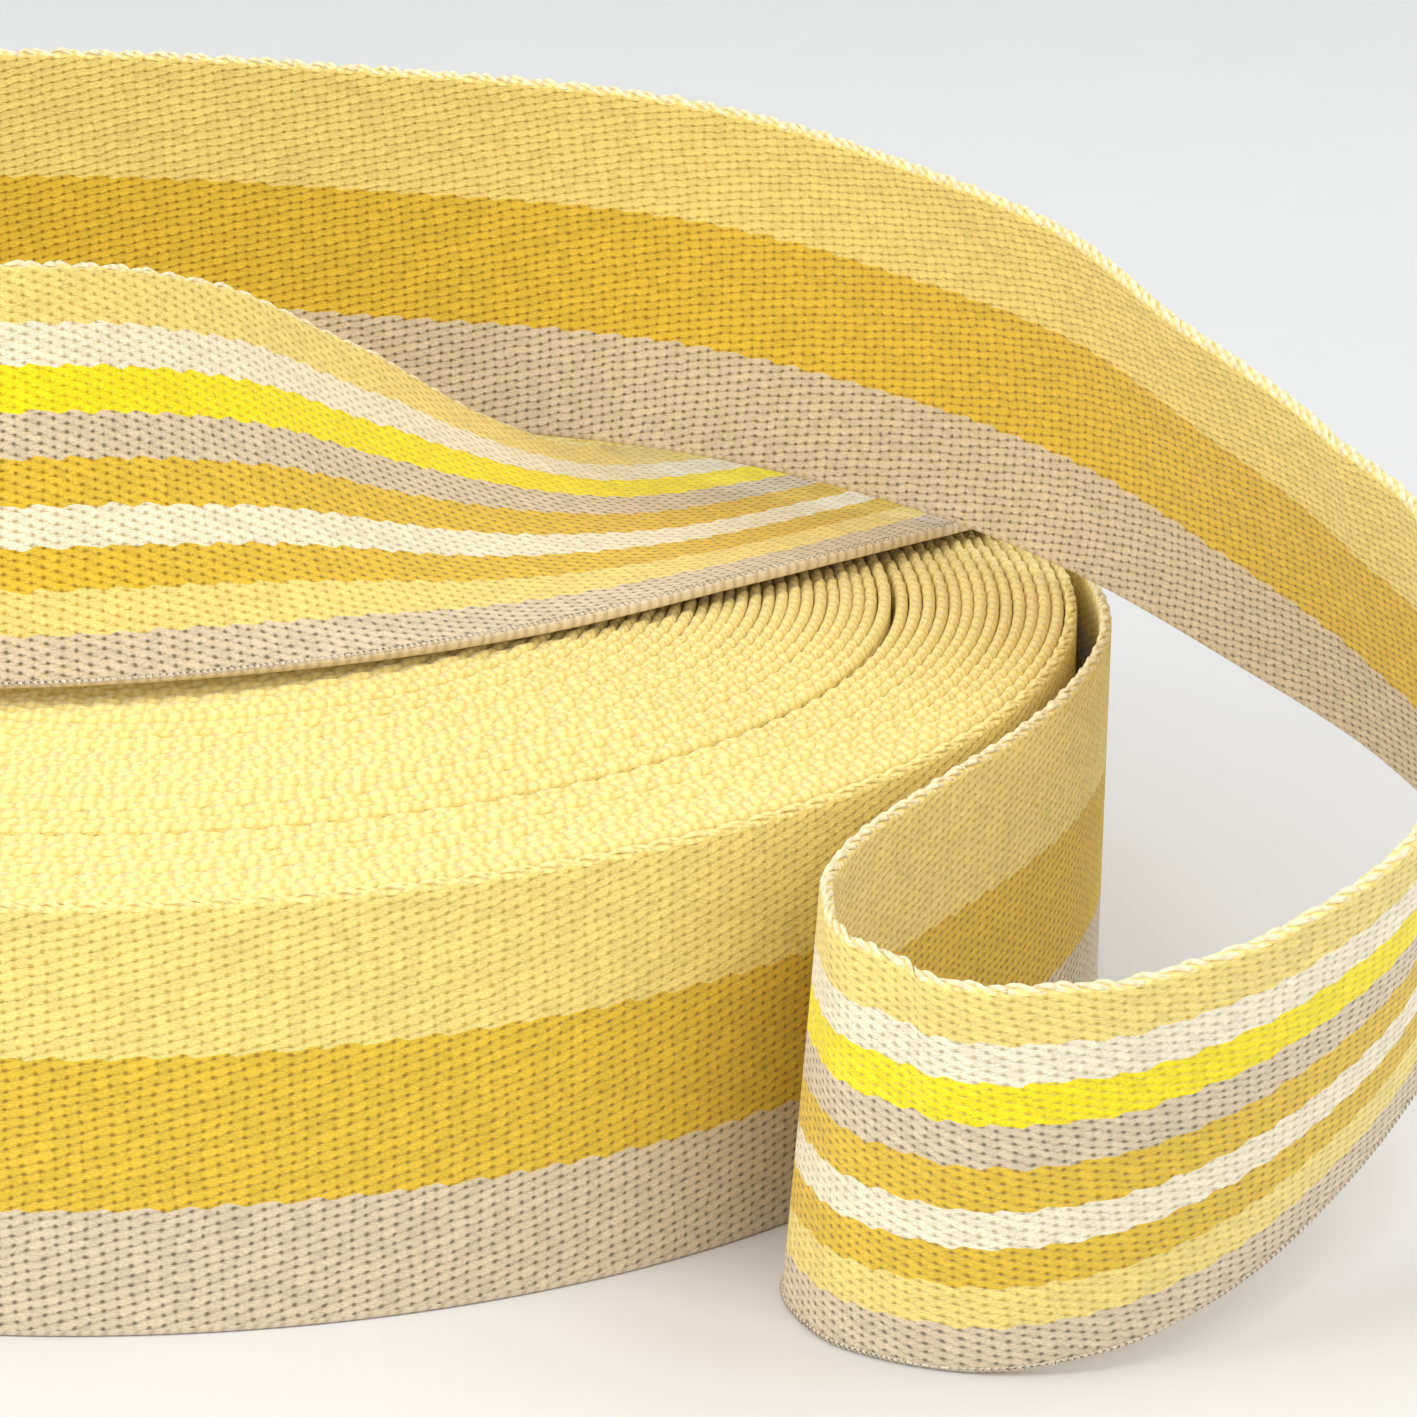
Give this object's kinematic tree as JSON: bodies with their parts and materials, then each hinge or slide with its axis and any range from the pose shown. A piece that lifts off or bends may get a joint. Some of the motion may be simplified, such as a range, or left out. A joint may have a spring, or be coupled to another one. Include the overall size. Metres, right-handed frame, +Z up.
{
  "type": "striped belting coil",
  "caption": "Flat coil of double-faced striped woven belting, standing on edge, its loose end looped in front and laid back over the top.",
  "frame": {"origin": "middle of the wound coil, on the face it rests on", "axes": "+X to the right towards the loose loop, +Y to the back, +Z up along the coil's axis"},
  "size_m": [0.2209, 0.2058, 0.086],
  "materials": {
    "pale_yarn": "soft matt woven yarn",
    "mustard_yarn": "soft matt woven yarn",
    "beige_yarn": "soft matt woven yarn",
    "cream_yarn": "soft matt woven yarn",
    "lemon_yarn": "soft matt woven yarn",
    "weft_yarn": "looped weft yarn inside the cloth and along its selvedges",
    "catch_thread": "fine knitted edge thread"
  },
  "bodies": {
    "wound_coil": {"coil_weft": "weft_yarn", "coil_catch_thread": "catch_thread", "coil_face_beige": "beige_yarn", "coil_face_mustard": "mustard_yarn", "coil_face_pale": "pale_yarn", "coil_back_edge_beige": "beige_yarn", "coil_back_low_pale": "pale_yarn", "coil_back_low_mustard": "mustard_yarn", "coil_back_low_cream": "cream_yarn", "coil_back_mustard": "mustard_yarn", "coil_back_beige": "beige_yarn", "coil_back_lemon": "lemon_yarn", "coil_back_cream": "cream_yarn", "coil_back_pale": "pale_yarn"},
    "side_leg": {"leg_weft": "weft_yarn", "leg_catch_thread": "catch_thread", "leg_face_beige": "beige_yarn", "leg_face_mustard": "mustard_yarn", "leg_face_pale": "pale_yarn", "leg_back_edge_beige": "beige_yarn", "leg_back_low_pale": "pale_yarn", "leg_back_low_mustard": "mustard_yarn", "leg_back_low_cream": "cream_yarn", "leg_back_mustard": "mustard_yarn", "leg_back_beige": "beige_yarn", "leg_back_lemon": "lemon_yarn", "leg_back_cream": "cream_yarn", "leg_back_pale": "pale_yarn"},
    "loose_run": {"run_weft": "weft_yarn", "run_catch_thread": "catch_thread", "run_face_beige": "beige_yarn", "run_face_mustard": "mustard_yarn", "run_face_pale": "pale_yarn", "run_back_edge_beige": "beige_yarn", "run_back_low_pale": "pale_yarn", "run_back_low_mustard": "mustard_yarn", "run_back_low_cream": "cream_yarn", "run_back_mustard": "mustard_yarn", "run_back_beige": "beige_yarn", "run_back_lemon": "lemon_yarn", "run_back_cream": "cream_yarn", "run_back_pale": "pale_yarn"}
  },
  "joints": [
    {"name": "peel_hinge", "type": "hinge", "parent": "wound_coil", "child": "side_leg", "pos_m": [0.07949, 0.04932, 0.02], "axis": [0, 0, 1], "range_deg": [0, 12]},
    {"name": "front_bend_hinge", "type": "hinge", "parent": "side_leg", "child": "loose_run", "pos_m": [0.0642, -0.0832, 0.02], "axis": [0, 0, 1], "range_deg": [-10, 0]}
  ]
}
